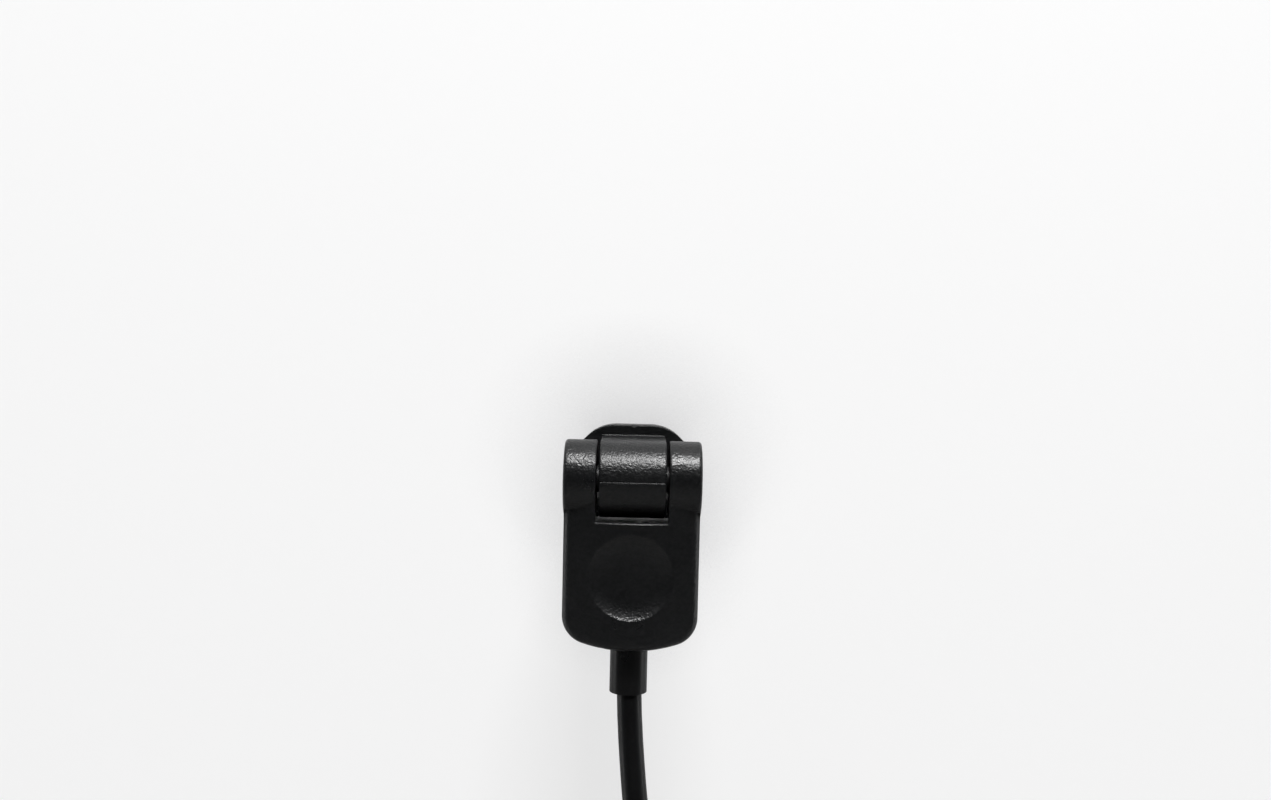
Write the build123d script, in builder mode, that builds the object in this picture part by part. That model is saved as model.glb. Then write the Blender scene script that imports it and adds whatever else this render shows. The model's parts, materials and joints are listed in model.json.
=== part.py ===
"""Folding-plug extension cord: three-pin plug head, hinged grip, coiled cord and in-line coupling.

Millimetres. +X is right, +Z is up and +Y points into the wall socket. The origin lies midway between
the live and neutral pins on the front face of the plug's nose. The grip is folded down flat.
"""
from build123d import *
import math
import os

os.makedirs("parts", exist_ok=True)

# Fits
running = 0.05
loose = 0.15
seat = 0.1

# Plug nose: a rounded hexagon with 45 degree shoulders
nose_half_width = 18.0
nose_half_height = 8.7
nose_shoulder_radius = 11.0
nose_side_radius = 2.5
nose_depth = 9.5
nose_edge = 0.5
nose_wall = 1.2
flange_thickness = 1.4
face_thickness = 2.6
notch_width = 1.0
notch_depth = 0.35

# Contact pins, all parallel to Y
pin_spacing = 19.0
earth_offset = 5.0
pin_radius = 2.0
pin_root_radius = 2.2
pin_length = 19.0
pin_tip = 0.7
pin_waist = 1.5
sleeve_length = 9.0
sleeve_seat = 1.0
sleeve_wall = 0.43
sleeve_play = 0.02
sleeve_draft = 0.06
pin_collar_radius = 2.4
pin_collar_length = 1.0
crimp_radius = 1.8
crimp_length = 1.8
crimp_depth = 1.5

# Hinge: its axis is parallel to X
hinge_setback = 11.0
hinge_drop = 4.8
barrel_radius = 10.0
barrel_width = 17.0
barrel_edge = 0.4
head_wall = 1.8
head_side_wall = 1.5
neck_rise = 0.6
neck_low = 3.2
parting_chamfer = 0.15
bush_radius = 3.4
bush_bore = 2.5
bush_head_radius = 4.4
bush_head_length = 1.0

# Grip: two ears, a slot for the barrel, a crowned lower end and a round thumb dish
slot_gap = 0.75
slot_clearance = 0.4
slot_corner = 0.6
slot_edge = 0.4
ear_radius = 10.0
ear_half_width = 17.55
ear_rim = 0.85
ear_inner_wall = 2.2
ear_wall = 1.95
grip_half_width = 17.3
grip_length = 43.0
grip_half_depth = 8.1
grip_corner = 7.0
grip_crown = 45.0
grip_edge = 1.8
grip_wall = 1.9
dish_drop = 24.2
dish_radius = 11.0
dish_lip = 0.9
dish_lip_turn = 70.0
dish_depth = 1.5
dish_pad = 1.6

# Screws that join two shells
screw_radius = 1.25
screw_head_radius = 2.7
screw_head_height = 1.9
screw_recess = 2.4
screw_reach = 4.5
screw_cross_length = 3.2
screw_cross_width = 0.7
screw_cross_depth = 0.9
boss_radius = 3.7
grip_screws = ((0.0, -15.6), (-11.6, -33.6), (11.6, -33.6))

# Cord, its cores and its strain reliefs
cord_radius = 3.2
core_radius = 1.0
core_circle = 1.44
core_bend = 1.5
grip_core_bend = 2.2
core_lead = 4.0
relief_radius = 4.85
relief_length = 12.0
relief_flange_radius = 6.6
relief_flange_length = 2.0
relief_flare = 0.6
relief_flare_length = 4.0
nest_radius = 7.5
nest_rib = 2.0
jacket_stub = 0.9

# Coil of put-away cord and its two straps
coil_centre = (5.0, -31.0, -157.0)
coil_radius = 35.5
bundle_radius = 10.6
strap_width = 12.0
strap_thickness = 0.9
strap_edge = 0.3
strap_angles = (35.0, 215.0)

# In-line coupling, face down at the cord's far end
coupling_face = (39.5, -31.5, -280.0)
coupling_wall = 2.4
coupling_straight = 30.0
coupling_length = 50.0
coupling_rear_wall = 2.2
coupling_rim = 0.8
coupling_tail_half_width = 10.2
coupling_tail_half_height = 7.9
coupling_tail_shoulder = 3.5
coupling_tail_side = 2.5
recess_play = 0.2
recess_depth = 9.7
carrier_ledge = 1.4
contact_setback = 2.5
contact_wall = 1.0
contact_play = 0.05
contact_hole_play = 0.4
contact_bore_length = 17.0
contact_tail_length = 3.0
contact_end = 0.5
contact_lead = 1.0
jacket_lead = 2.0
coupling_relief_length = 14.0
coupling_relief_radius = 4.6
coupling_flange_radius = 5.4
coupling_nest_radius = 6.2

# Places worked out from the sizes above
hinge_y = -nose_depth - hinge_setback
hinge_z = -hinge_drop
slot_half_width = barrel_width / 2 + slot_gap
slot_depth = barrel_radius + slot_clearance
bush_end = slot_half_width + ear_inner_wall
core_split = slot_half_width + slot_gap
pin_places = {
    "live": (-pin_spacing / 2, 0.0),
    "neutral": (pin_spacing / 2, 0.0),
    "earth": (0.0, -earth_offset),
}
core_places = {
    name: (core_circle * math.cos(math.radians(angle)), core_circle * math.sin(math.radians(angle)))
    for name, angle in (("live", 150), ("neutral", 30), ("earth", 270))
}
relief_floor = -grip_length + grip_wall
jacket_end = relief_floor + relief_flange_length + seat + nest_rib + jacket_stub
carrier_length = coupling_straight - recess_depth
contact_mouth = recess_depth + contact_setback
contact_bore = pin_radius + contact_play
contact_radius = contact_bore + contact_wall
contact_tail = contact_mouth + contact_bore_length + contact_end + contact_tail_length
coupling_floor = coupling_length - coupling_rear_wall
coupling_rib_base = coupling_floor - relief_flange_length - seat - nest_rib
coupling_jacket_end = coupling_rib_base - jacket_stub

# Planes: the hinge seen from the right, and the grip and coupling seen from the front
hinge_side = Plane((0, hinge_y, hinge_z), x_dir=(0, 1, 0), z_dir=(1, 0, 0))
hinge_front = Plane((0, hinge_y, hinge_z), x_dir=(1, 0, 0), z_dir=(0, -1, 0))
hinge_level = Plane.XY.offset(hinge_z)
hinge_down = Plane((0, hinge_y, hinge_z), x_dir=(1, 0, 0), z_dir=(0, 0, 1))
face_plane = Plane(coupling_face, x_dir=(1, 0, 0), z_dir=(0, 0, 1))
coupling_front = Plane(coupling_face, x_dir=(1, 0, 0), z_dir=(0, -1, 0))


def hexagon(plane, half_width, half_height, shoulder_radius, side_radius, grow=0.0):
    """A hexagon with 45 degree shoulders and round corners, grown outwards all round."""
    wide = half_width + grow * math.sqrt(2)
    high = half_height + grow
    flat = wide - high
    with BuildSketch(plane) as outline:
        Polygon(
            (wide, 0), (flat, high), (-flat, high), (-wide, 0), (-flat, -high), (flat, -high), align=None
        )
        shoulders = outline.vertices().filter_by(lambda corner: abs(corner.Y) > high / 2)
        fillet(shoulders, shoulder_radius + grow)
        sides = outline.vertices().filter_by(lambda corner: abs(corner.X) > wide - 0.01)
        fillet(sides, side_radius + grow)
    return outline.sketch


def nose_outline(plane, grow=0.0):
    """The nose's own hexagon on a plane."""
    return hexagon(plane, nose_half_width, nose_half_height, nose_shoulder_radius, nose_side_radius, grow)


def tangent_from(y, z, side):
    """Where a line from a point beside the hinge touches the barrel, seen along the hinge."""
    turn = math.atan2(z, y) + side * math.acos(barrel_radius / math.hypot(y, z))
    return barrel_radius * math.cos(turn), barrel_radius * math.sin(turn)


def grip_outline(plane, inset=0.0):
    """The grip's outline from the hinge down: straight sides, round corners, crowned end."""
    half = grip_half_width - inset
    corner = grip_corner - inset
    crown = grip_crown - inset
    crown_z = crown - grip_length + inset
    corner_x = half - corner
    corner_z = crown_z - math.sqrt((crown - corner) ** 2 - corner_x**2)
    lean = math.degrees(math.asin(corner_x / (crown - corner)))
    with BuildSketch(plane) as outline:
        with BuildLine():
            Polyline((-half, corner_z), (-half, 0), (half, 0), (half, corner_z))
            CenterArc((corner_x, corner_z), corner, 0, lean - 90)
            CenterArc((0, crown_z), crown, lean - 90, -2 * lean)
            CenterArc((-corner_x, corner_z), corner, -90 - lean, lean - 90)
        make_face()
    return outline.sketch


def bends(points, share=0.45):
    """The largest arc that fits each corner of a route, from the shorter of its two runs."""
    route = [Vector(*point) for point in points]
    radii = []
    for before, here, after in zip(route, route[1:], route[2:]):
        turn = math.radians((here - before).get_angle(after - here))
        run = min((here - before).length, (after - here).length)
        radii.append(share * run / math.tan(turn / 2))
    return radii


def run_round(points, radii, radius):
    """Sweep a round section along straight runs joined by tangent arcs, in the part being built."""
    with BuildLine() as route:
        FilletPolyline(*points, radius=radii)
    with BuildSketch(Plane(origin=route.line @ 0, z_dir=route.line % 0)) as section:
        Circle(radius)
    sweep(section.sketch, path=route.line)


def turn_profile(plane, points):
    """Revolve a half section, given as (radius, height) points, about its plane's Y axis."""
    with BuildSketch(plane) as section:
        Polygon(*points, align=None)
    revolve(section.sketch, axis=Axis(plane.origin, plane.y_dir))


def at_hinge(x, y, z):
    """A point given from the hinge's middle, in the part's own frame."""
    return x, hinge_y + y, hinge_z + z


def at_coupling(x, y, z):
    """A point given from the middle of the coupling's face, in the part's own frame."""
    return coupling_face[0] + x, coupling_face[1] + y, coupling_face[2] + z


# Contact carrier: the nose's front part, with a deep pocket behind a thick face
with BuildPart() as pin_carrier:
    extrude(nose_outline(Plane.XZ), amount=nose_depth - flange_thickness)
    fillet(pin_carrier.faces().sort_by(Axis.Y)[-1].edges(), nose_edge)
    extrude(
        nose_outline(Plane.XZ.offset(face_thickness), -nose_wall), amount=nose_depth, mode=Mode.SUBTRACT
    )
    with BuildSketch(Plane.XZ):
        with Locations(*pin_places.values()):
            Circle(pin_root_radius + running)
    extrude(amount=face_thickness, mode=Mode.SUBTRACT)
pin_carrier.part.label = "pin_carrier"
export_step(pin_carrier.part, "parts/pin_carrier.step")

# Pins: a thicker root in the face, a collar behind it and a crimp barrel for the core
collar_y = -face_thickness
crimp_y = collar_y - pin_collar_length
crimp_end = crimp_y - crimp_length
core_start = crimp_end + crimp_depth
for pin_name, (pin_x, pin_z) in pin_places.items():
    root = [
        (0, crimp_end),
        (crimp_radius, crimp_end),
        (crimp_radius, crimp_y),
        (pin_collar_radius, crimp_y),
        (pin_collar_radius, collar_y),
        (pin_root_radius, collar_y),
    ]
    shoulder = [(pin_root_radius, 0), (pin_radius, 0)]
    waist = [
        (pin_root_radius, -sleeve_seat),
        (pin_waist, -sleeve_seat),
        (pin_waist, sleeve_length),
        (pin_radius, sleeve_length),
    ]
    tip = [(pin_radius, pin_length - pin_tip), (pin_radius - pin_tip, pin_length), (0, pin_length)]
    pin_plane = Plane((pin_x, 0, pin_z), x_dir=(1, 0, 0), z_dir=(0, 0, 1))
    with BuildPart() as pin:
        turn_profile(pin_plane, root + (shoulder if pin_name == "earth" else waist) + tip)
        with BuildSketch(Plane.XZ.offset(-crimp_end)):
            with Locations((pin_x, pin_z)):
                Circle(core_radius + seat)
        extrude(amount=-crimp_depth, mode=Mode.SUBTRACT)
    pin.part.label = f"{pin_name}_pin"
    export_step(pin.part, f"parts/{pin_name}_pin.step")

# Insulating sleeves round the roots of the live and neutral pins, drafted towards the tip
sleeve_bore = pin_waist + sleeve_play
for pin_name in ("live", "neutral"):
    pin_x, pin_z = pin_places[pin_name]
    pin_plane = Plane((pin_x, 0, pin_z), x_dir=(1, 0, 0), z_dir=(0, 0, 1))
    with BuildPart() as pin_sleeve:
        turn_profile(
            pin_plane,
            [
                (sleeve_bore, -sleeve_seat),
                (sleeve_bore + sleeve_wall, -sleeve_seat),
                (sleeve_bore + sleeve_wall - sleeve_draft, sleeve_length),
                (sleeve_bore, sleeve_length),
            ],
        )
    pin_sleeve.part.label = f"{pin_name}_pin_sleeve"
    export_step(pin_sleeve.part, f"parts/{pin_name}_pin_sleeve.step")

# Head: barrel, neck and the flange that closes the nose, split along the hinge's height
top_y, top_z = tangent_from(hinge_setback, barrel_radius + neck_rise, 1)
low_y, low_z = tangent_from(hinge_setback, -neck_low, -1)
barrel_side = hinge_side.offset(-barrel_width / 2)
hollow_half_width = barrel_width / 2 - head_side_wall
with BuildPart() as head_form:
    with BuildSketch(barrel_side):
        with BuildLine():
            Polyline(
                (top_y, top_z), (hinge_setback, barrel_radius + neck_rise), (hinge_setback, -neck_low),
                (low_y, low_z),
            )
            ThreePointArc((low_y, low_z), (-barrel_radius, 0), (top_y, top_z))
        make_face()
    extrude(amount=barrel_width)
    rim = head_form.faces().filter_by(Axis.X).edges() - head_form.faces().sort_by(Axis.Y)[-1].edges()
    fillet(rim, barrel_edge)
    extrude(nose_outline(Plane.XZ.offset(nose_depth - flange_thickness)), amount=flange_thickness)
    with BuildSketch(hinge_side.offset(-hollow_half_width)):
        Circle(barrel_radius - head_wall)
        with BuildLine():
            Polyline(
                (0, barrel_radius - head_wall),
                (hinge_setback + flange_thickness, barrel_radius + neck_rise - head_wall),
                (hinge_setback + flange_thickness, head_side_wall - neck_low),
                (0, head_side_wall - neck_low),
                close=True,
            )
        make_face()
    extrude(amount=2 * hollow_half_width, mode=Mode.SUBTRACT)
    with BuildSketch(barrel_side):
        Circle(bush_radius + running)
    extrude(amount=barrel_width, mode=Mode.SUBTRACT)
    with BuildSketch(Plane.XZ.offset(nose_depth - flange_thickness)):
        with Locations((0, nose_half_height)):
            Rectangle(notch_width, 2 * notch_depth)
    extrude(amount=flange_thickness, mode=Mode.SUBTRACT)

with BuildPart() as head_upper_shell:
    add(head_form.part)
    split(bisect_by=hinge_level, keep=Keep.TOP)
    front = head_upper_shell.edges().filter_by(Axis.X).filter_by_position(
        Axis.Z, hinge_z - 0.01, hinge_z + 0.01
    )
    chamfer(front.sort_by(Axis.Y)[0], parting_chamfer)
head_upper_shell.part.label = "head_upper_shell"
export_step(head_upper_shell.part, "parts/head_upper_shell.step")

with BuildPart() as head_lower_shell:
    add(head_form.part)
    split(bisect_by=hinge_level, keep=Keep.BOTTOM)
    front = head_lower_shell.edges().filter_by(Axis.X).filter_by_position(
        Axis.Z, hinge_z - 0.01, hinge_z + 0.01
    )
    chamfer(front.sort_by(Axis.Y)[0], parting_chamfer)
head_lower_shell.part.label = "head_lower_shell"
export_step(head_lower_shell.part, "parts/head_lower_shell.step")

# Hinge bushes: hollow, headed inside the barrel, running in the ears
for side_name, side in (("left", -1), ("right", 1)):
    bush_plane = Plane((0, hinge_y, hinge_z), x_dir=(0, 1, 0), z_dir=(0, 0, -side))
    with BuildPart() as hinge_bush:
        turn_profile(
            bush_plane,
            [
                (bush_bore, hollow_half_width - bush_head_length),
                (bush_head_radius, hollow_half_width - bush_head_length),
                (bush_head_radius, hollow_half_width),
                (bush_radius, hollow_half_width),
                (bush_radius, bush_end),
                (bush_bore, bush_end),
            ],
        )
    hinge_bush.part.label = f"{side_name}_hinge_bush"
    export_step(hinge_bush.part, f"parts/{side_name}_hinge_bush.step")

# Cores in the head: from each crimp through the neck to the hinge axis and out through a bush
neck_x = 3.0
neck_y = -8.0
neck_z = -1.5
earth_neck_y = -11.0
earth_split = 0.5
crimp_clear = -6.2
core_side = core_radius + running
head_cores = {
    "live": [
        (pin_places["live"][0], core_start, 0),
        (pin_places["live"][0], crimp_clear, 0),
        (-neck_x, neck_y, neck_z),
        at_hinge(-neck_x, 0, 0),
        at_hinge(-core_split, 0, 0),
    ],
    "neutral": [
        (pin_places["neutral"][0], core_start, 0),
        (pin_places["neutral"][0], crimp_clear, 0),
        (neck_x, neck_y, neck_z),
        at_hinge(neck_x, core_side, 0),
        at_hinge(core_split, core_side, 0),
    ],
    "earth": [
        (0, core_start, -earth_offset),
        (0, earth_neck_y, -earth_offset),
        at_hinge(earth_split, -core_side, 0),
        at_hinge(core_split, -core_side, 0),
    ],
}
for core_name, points in head_cores.items():
    with BuildPart() as head_core:
        run_round(points, [core_bend] * (len(points) - 2), core_radius)
    head_core.part.label = f"head_{core_name}_core"
    export_step(head_core.part, f"parts/head_{core_name}_core.step")

# Grip: the whole form, split through the hinge axis into a front and a back shell
with BuildPart() as grip_form:
    extrude(grip_outline(hinge_front), amount=grip_half_depth, both=True)
    for face in (grip_form.faces().sort_by(Axis.Y)[0], grip_form.faces().sort_by(Axis.Y)[-1]):
        fillet(face.edges().sort_by(Axis.Z)[:-1], grip_edge)
    with BuildSketch(hinge_front.offset(-grip_half_depth)) as slot:
        with BuildLine():
            FilletPolyline(
                (-slot_half_width, ear_radius),
                (-slot_half_width, -slot_depth),
                (slot_half_width, -slot_depth),
                (slot_half_width, ear_radius),
                radius=slot_corner,
            )
            Line((slot_half_width, ear_radius), (-slot_half_width, ear_radius))
        make_face()
    extrude(amount=2 * grip_half_depth, mode=Mode.SUBTRACT)
    for side in (-1, 1):
        ear_plane = hinge_side.offset(side * slot_half_width)
        with BuildPart(mode=Mode.PRIVATE) as ear:
            with BuildSketch(ear_plane):
                Circle(ear_radius)
            extrude(amount=side * (ear_half_width - slot_half_width))
            fillet(ear.faces().sort_by(Axis.X)[0 if side < 0 else -1].edges(), ear_rim)
        add(ear.part)
    slot_rim = grip_form.edges().filter_by_position(Axis.X, -slot_half_width - 0.01, slot_half_width + 0.01)
    fillet(slot_rim - grip_form.edges().filter_by(Axis.Y), slot_edge)
    # Hollow: the grip's own outline inside the wall, round the slot and up into the ears
    with BuildPart(mode=Mode.PRIVATE) as hollow:
        extrude(grip_outline(hinge_front, grip_wall), amount=grip_half_depth - grip_wall, both=True)
        with BuildSketch(hinge_front.offset(grip_wall - grip_half_depth)):
            with Locations((0, 0)):
                Rectangle(2 * bush_end, 2 * (slot_depth + grip_wall))
        extrude(amount=2 * (grip_half_depth - grip_wall), mode=Mode.SUBTRACT)
        for side in (-1, 1):
            with BuildSketch(hinge_side.offset(side * bush_end)):
                Circle(ear_radius - ear_wall)
            extrude(amount=side * (ear_half_width - ear_wall - bush_end))
        with BuildSketch(hinge_front.offset(grip_half_depth - grip_wall)):
            with Locations((0, -dish_drop)):
                Circle(dish_radius + dish_pad)
        extrude(amount=-dish_depth, mode=Mode.SUBTRACT)
        # Bosses for the screws and a nest for the strain relief's flange stand in the hollow
        with BuildSketch(hinge_front.offset(-grip_half_depth)):
            with Locations(*grip_screws):
                Circle(boss_radius)
        extrude(amount=2 * grip_half_depth, mode=Mode.SUBTRACT)
        with BuildSketch(hinge_down.offset(relief_floor)):
            Circle(nest_radius)
        extrude(amount=relief_flange_length + seat + nest_rib, mode=Mode.SUBTRACT)
    add(hollow.part, mode=Mode.SUBTRACT)
    # Bearings for the bushes
    with BuildSketch(hinge_side.offset(-bush_end)):
        Circle(bush_radius + running)
    extrude(amount=2 * bush_end, mode=Mode.SUBTRACT)
    # Passage and nest for the strain relief, and the jacket's hole above it
    with BuildSketch(hinge_down.offset(-grip_length - 1)):
        Circle(relief_radius + seat)
    extrude(amount=grip_wall + 1, mode=Mode.SUBTRACT)
    with BuildSketch(hinge_down.offset(relief_floor)):
        Circle(relief_flange_radius + seat)
    extrude(amount=relief_flange_length + seat, mode=Mode.SUBTRACT)
    with BuildSketch(hinge_down.offset(relief_floor)):
        Circle(cord_radius + loose)
    extrude(amount=relief_flange_length + nest_rib + 2 * seat, mode=Mode.SUBTRACT)
    # Round thumb dish with a soft lip
    with BuildSketch(Plane(at_hinge(0, -grip_half_depth, -dish_drop), x_dir=(1, 0, 0), z_dir=(0, 0, 1))) as dish:
        with BuildLine():
            Polyline((0, dish_depth), (0, -1), (dish_radius, -1), (dish_radius, 0))
            lip = JernArc((dish_radius, 0), (-1, 0), dish_lip, -dish_lip_turn)
            rise = dish_depth - (lip @ 1).Y
            bowl_radius = ((lip @ 1).X ** 2 + rise**2) / (2 * rise)
            bowl_turn = math.degrees(math.asin((lip @ 1).X / bowl_radius))
            CenterArc((0, dish_depth - bowl_radius), bowl_radius, 90, -bowl_turn)
        make_face()
    revolve(axis=Axis(at_hinge(0, 0, -dish_drop), (0, 1, 0)), mode=Mode.SUBTRACT)
    # Screw holes through the back half, with recesses for the heads
    with BuildSketch(hinge_front.offset(-grip_half_depth)):
        with Locations(*grip_screws):
            Circle(screw_radius + loose)
    extrude(amount=grip_half_depth + screw_reach + seat, mode=Mode.SUBTRACT)
    with BuildSketch(hinge_front.offset(-grip_half_depth)):
        with Locations(*grip_screws):
            Circle(screw_head_radius + loose)
    extrude(amount=screw_recess, mode=Mode.SUBTRACT)

with BuildPart() as grip_front_shell:
    add(grip_form.part)
    split(bisect_by=hinge_front, keep=Keep.TOP)
grip_front_shell.part.label = "grip_front_shell"
export_step(grip_front_shell.part, "parts/grip_front_shell.step")

with BuildPart() as grip_back_shell:
    add(grip_form.part)
    split(bisect_by=hinge_front, keep=Keep.BOTTOM)
grip_back_shell.part.label = "grip_back_shell"
export_step(grip_back_shell.part, "parts/grip_back_shell.step")

# Screws: pan heads with a cross, set from the back into the front shell's bosses
def pan_screw(plane, place, length):
    """Add one screw to the part being built: head on the plane, shank behind it."""
    with BuildSketch(plane) as head:
        with Locations(place):
            Circle(screw_head_radius)
    extrude(head.sketch, amount=screw_head_height)
    with BuildSketch(plane) as shank:
        with Locations(place):
            Circle(screw_radius)
    extrude(shank.sketch, amount=-length)
    with BuildSketch(plane.offset(screw_head_height)) as cross:
        with Locations(place):
            Rectangle(screw_cross_length, screw_cross_width)
            Rectangle(screw_cross_width, screw_cross_length)
    extrude(cross.sketch, amount=-screw_cross_depth, mode=Mode.SUBTRACT)


grip_screw_length = grip_half_depth - screw_recess + screw_reach
grip_back = Plane(at_hinge(0, grip_half_depth - screw_recess, 0), x_dir=(-1, 0, 0), z_dir=(0, 1, 0))
with BuildPart() as grip_screw_set:
    for screw_x, screw_z in grip_screws:
        pan_screw(grip_back, (-screw_x, screw_z), grip_screw_length)
grip_screw_set.part.label = "grip_screws"
export_step(grip_screw_set.part, "parts/grip_screws.step")

# Cores in the grip: from the hinge axis down the ears and inwards to the end of the jacket
ear_core_x = 13.5
fan_z = -15.0
grip_cores = {
    "live": [
        at_hinge(-core_split, 0, 0),
        at_hinge(-ear_core_x, 0, 0),
        at_hinge(-ear_core_x, 0, fan_z),
    ],
    "neutral": [
        at_hinge(core_split, core_side, 0),
        at_hinge(ear_core_x, core_side, 0),
        at_hinge(ear_core_x, core_side, fan_z),
    ],
    "earth": [
        at_hinge(core_split, -core_side, 0),
        at_hinge(ear_core_x, -core_side, 0),
        at_hinge(ear_core_x, -core_side, fan_z),
    ],
}
for core_name, points in grip_cores.items():
    end_x, end_y = core_places[core_name]
    with BuildPart() as grip_core:
        run_round(
            points + [at_hinge(end_x, end_y, jacket_end + core_lead), at_hinge(end_x, end_y, jacket_end)],
            [grip_core_bend] * 3,
            core_radius,
        )
    grip_core.part.label = f"grip_{core_name}_core"
    export_step(grip_core.part, f"parts/grip_{core_name}_core.step")

# Strain relief: a straight sleeve with a flange held in the nest and a flared mouth
relief_plane = Plane(at_hinge(0, 0, 0), x_dir=(1, 0, 0), z_dir=(0, -1, 0))
relief_end = -grip_length - relief_length
with BuildPart() as strain_relief:
    turn_profile(
        relief_plane,
        [
            (cord_radius + loose, relief_floor + relief_flange_length),
            (relief_flange_radius, relief_floor + relief_flange_length),
            (relief_flange_radius, relief_floor),
            (relief_radius, relief_floor),
            (relief_radius, relief_end),
            (cord_radius + loose + relief_flare, relief_end),
            (cord_radius + loose, relief_end + relief_flare_length),
        ],
    )
strain_relief.part.label = "strain_relief"
export_step(strain_relief.part, "parts/strain_relief.step")

# Coil: the put-away turns as one closed ring, with two straps round it
with BuildPart() as cord_coil:
    with BuildSketch(Plane(coil_centre, x_dir=(1, 0, 0), z_dir=(0, 0, 1))):
        with Locations((coil_radius, 0)):
            Circle(bundle_radius)
    revolve(axis=Axis(coil_centre, (0, 1, 0)))
cord_coil.part.label = "cord_coil"
export_step(cord_coil.part, "parts/cord_coil.step")

with BuildPart() as coil_straps:
    for strap_angle in strap_angles:
        turn = math.radians(strap_angle)
        strap_plane = Plane(
            (
                coil_centre[0] + coil_radius * math.cos(turn),
                coil_centre[1],
                coil_centre[2] + coil_radius * math.sin(turn),
            ),
            x_dir=(math.cos(turn), 0, math.sin(turn)),
            z_dir=(-math.sin(turn), 0, math.cos(turn)),
        )
        with BuildSketch(strap_plane):
            Circle(bundle_radius + strap_thickness)
        extrude(amount=strap_width / 2, both=True)
    fillet(coil_straps.edges().filter_by(GeomType.CIRCLE), strap_edge)
    with BuildSketch(Plane(coil_centre, x_dir=(1, 0, 0), z_dir=(0, 0, 1))):
        with Locations((coil_radius, 0)):
            Circle(bundle_radius + running)
    revolve(axis=Axis(coil_centre, (0, 1, 0)), mode=Mode.SUBTRACT)
coil_straps.part.label = "coil_straps"
export_step(coil_straps.part, "parts/coil_straps.step")

# Cord: from the end of its jacket in the grip down to the coil
cord_route = [
    at_hinge(0, 0, jacket_end),
    (0.0, hinge_y, -60.5),
    (2.2, -27.8, -86.0),
    (3.9, -31.0, -106.0),
    (13.8, -31.0, -121.0),
]
with BuildPart() as cord_tube:
    run_round(cord_route, bends(cord_route), cord_radius)
    add(cord_coil.part, mode=Mode.SUBTRACT)
cord_tube.part.label = "cord_tube"
export_step(cord_tube.part, "parts/cord_tube.step")

# Cord: from the coil's right side down to the end of its jacket in the coupling
tail_route = [
    (coil_centre[0] + coil_radius, -31.0, -168.0),
    (40.9, -31.2, -189.0),
    (coupling_face[0], coupling_face[1], -213.0),
    at_coupling(0, 0, coupling_jacket_end),
]
with BuildPart() as cord_tail:
    run_round(tail_route, bends(tail_route), cord_radius)
    add(cord_coil.part, mode=Mode.SUBTRACT)
cord_tail.part.label = "cord_tail"
export_step(cord_tail.part, "parts/cord_tail.step")
print("cord bend radii", [round(radius, 1) for radius in bends(cord_route) + bends(tail_route)])


def tail_outline(height, grow=0.0):
    """The coupling's narrow rear section at a height above its face."""
    return hexagon(
        face_plane.offset(height),
        coupling_tail_half_width,
        coupling_tail_half_height,
        coupling_tail_shoulder,
        coupling_tail_side,
        grow,
    )


# Coupling: a hexagonal sleeve that narrows to the cord, split into a front and a back shell
with BuildPart() as coupling_form:
    extrude(nose_outline(face_plane, coupling_wall), amount=coupling_straight)
    loft([
        nose_outline(face_plane.offset(coupling_straight), coupling_wall).face(),
        tail_outline(coupling_length).face(),
    ])
    fillet(coupling_form.faces().sort_by(Axis.Z)[0].edges(), coupling_rim)
    fillet(coupling_form.faces().sort_by(Axis.Z)[-1].edges(), coupling_rim)
    with BuildPart(mode=Mode.PRIVATE) as coupling_hollow:
        loft([
            nose_outline(face_plane.offset(coupling_straight), -carrier_ledge).face(),
            tail_outline(coupling_floor, -coupling_wall).face(),
        ])
        with BuildSketch(face_plane.offset(coupling_rib_base)):
            Circle(coupling_nest_radius)
        extrude(amount=coupling_length, mode=Mode.SUBTRACT)
    add(coupling_hollow.part, mode=Mode.SUBTRACT)
    extrude(nose_outline(face_plane, recess_play), amount=coupling_straight, mode=Mode.SUBTRACT)
    with BuildSketch(face_plane.offset(coupling_rib_base)):
        Circle(cord_radius + loose)
    extrude(amount=coupling_length, mode=Mode.SUBTRACT)
    with BuildSketch(face_plane.offset(coupling_floor - relief_flange_length - seat)):
        Circle(coupling_flange_radius + seat)
    extrude(amount=relief_flange_length + seat, mode=Mode.SUBTRACT)
    with BuildSketch(face_plane.offset(coupling_floor)):
        Circle(coupling_relief_radius + seat)
    extrude(amount=coupling_length, mode=Mode.SUBTRACT)

with BuildPart() as coupling_front_shell:
    add(coupling_form.part)
    split(bisect_by=coupling_front, keep=Keep.TOP)
coupling_front_shell.part.label = "coupling_front_shell"
export_step(coupling_front_shell.part, "parts/coupling_front_shell.step")

with BuildPart() as coupling_back_shell:
    add(coupling_form.part)
    split(bisect_by=coupling_front, keep=Keep.BOTTOM)
coupling_back_shell.part.label = "coupling_back_shell"
export_step(coupling_back_shell.part, "parts/coupling_back_shell.step")

# Contact carrier in the coupling: the recess's floor, with a pocket behind each pin hole
coupling_places = {name: (place_x, place_z) for name, (place_x, place_z) in pin_places.items()}
with BuildPart() as contact_carrier:
    extrude(nose_outline(face_plane.offset(recess_depth), recess_play - seat), amount=carrier_length)
    with BuildSketch(face_plane.offset(recess_depth)):
        with Locations(*coupling_places.values()):
            Circle(pin_radius + contact_hole_play)
    extrude(amount=carrier_length, mode=Mode.SUBTRACT)
    with BuildSketch(face_plane.offset(contact_mouth)):
        with Locations(*coupling_places.values()):
            Circle(contact_radius + contact_play)
    extrude(amount=carrier_length, mode=Mode.SUBTRACT)
contact_carrier.part.label = "contact_carrier"
export_step(contact_carrier.part, "parts/contact_carrier.step")

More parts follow.
